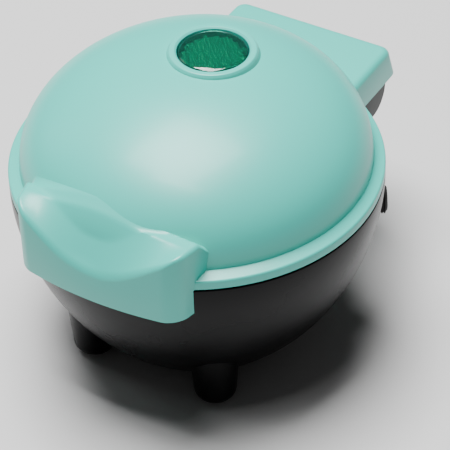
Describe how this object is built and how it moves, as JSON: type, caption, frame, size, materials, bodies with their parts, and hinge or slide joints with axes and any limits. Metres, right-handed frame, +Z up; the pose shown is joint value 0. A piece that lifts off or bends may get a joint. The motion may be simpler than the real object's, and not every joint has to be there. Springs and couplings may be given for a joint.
{
  "type": "mini waffle bowl maker",
  "caption": "Small round bowl maker: a domed lid with a scooped front handle and an indicator lens, hinged at the rear on a deep bowl-shaped base on legs.",
  "frame": {"origin": "centre of the whole object's box, on the surface it stands on", "axes": "+Z up; -Y is the front with the handle; +Y is the rear with the hinge; +X is the user's right hand when facing the front from behind the handle"},
  "size_m": [0.135, 0.1638, 0.1163],
  "materials": {
    "mint_plastic": "moulded, satin gloss",
    "black_plastic": "moulded, glossy",
    "black_phenolic": "fine texture",
    "green_lens": "translucent, patterned inside",
    "nonstick_aluminium": "cast, dark non-stick coating",
    "steel": "zinc-plated",
    "shield_aluminium": "bright sheet",
    "white_insulation": "ceramic, nylon and woven glass sleeve",
    "black_rubber": "matte",
    "clear_glass": "clear envelope"
  },
  "bodies": {
    "base": {"base_shell": "black_plastic", "lower_frame": "black_phenolic", "lower_frame_screw_1": "steel", "lower_frame_screw_2": "steel", "lower_frame_screw_3": "steel", "lower_frame_screw_4": "steel", "lower_plate": "nonstick_aluminium", "lower_element": "steel", "lower_clamp_left": "steel", "lower_clamp_right": "steel", "lower_thermostat": "white_insulation", "lower_thermal_fuse": "white_insulation", "lower_heat_shield": "shield_aluminium", "bottom_cover": "black_phenolic", "cover_screw_1": "steel", "cover_screw_2": "steel", "cover_screw_3": "steel", "cover_screw_4": "steel", "foot_pad_1": "black_rubber", "foot_pad_2": "black_rubber", "foot_pad_3": "black_rubber", "foot_pad_4": "black_rubber", "hinge_pin_left": "steel", "hinge_pin_right": "steel", "cord_gland": "black_rubber", "terminal_block": "white_insulation", "base_lead": "white_insulation"},
    "lid": {"lid_shell": "mint_plastic", "indicator_lens": "green_lens", "lens_retainer": "steel", "lamp_holder": "white_insulation", "indicator_lamp": "clear_glass", "upper_frame": "black_phenolic", "upper_frame_screw_1": "steel", "upper_frame_screw_2": "steel", "upper_frame_screw_3": "steel", "upper_frame_screw_4": "steel", "upper_plate": "nonstick_aluminium", "upper_element": "steel", "upper_clamp_left": "steel", "upper_clamp_right": "steel", "upper_thermostat": "white_insulation", "upper_thermal_fuse": "white_insulation", "upper_heat_shield": "shield_aluminium", "lid_lead": "white_insulation"}
  },
  "joints": [
    {"name": "lid_hinge", "type": "hinge", "parent": "base", "child": "lid", "pos_m": [0, 0.06778, 0.0624], "axis": [-1, 0, 0], "range_deg": [0, 95]}
  ]
}
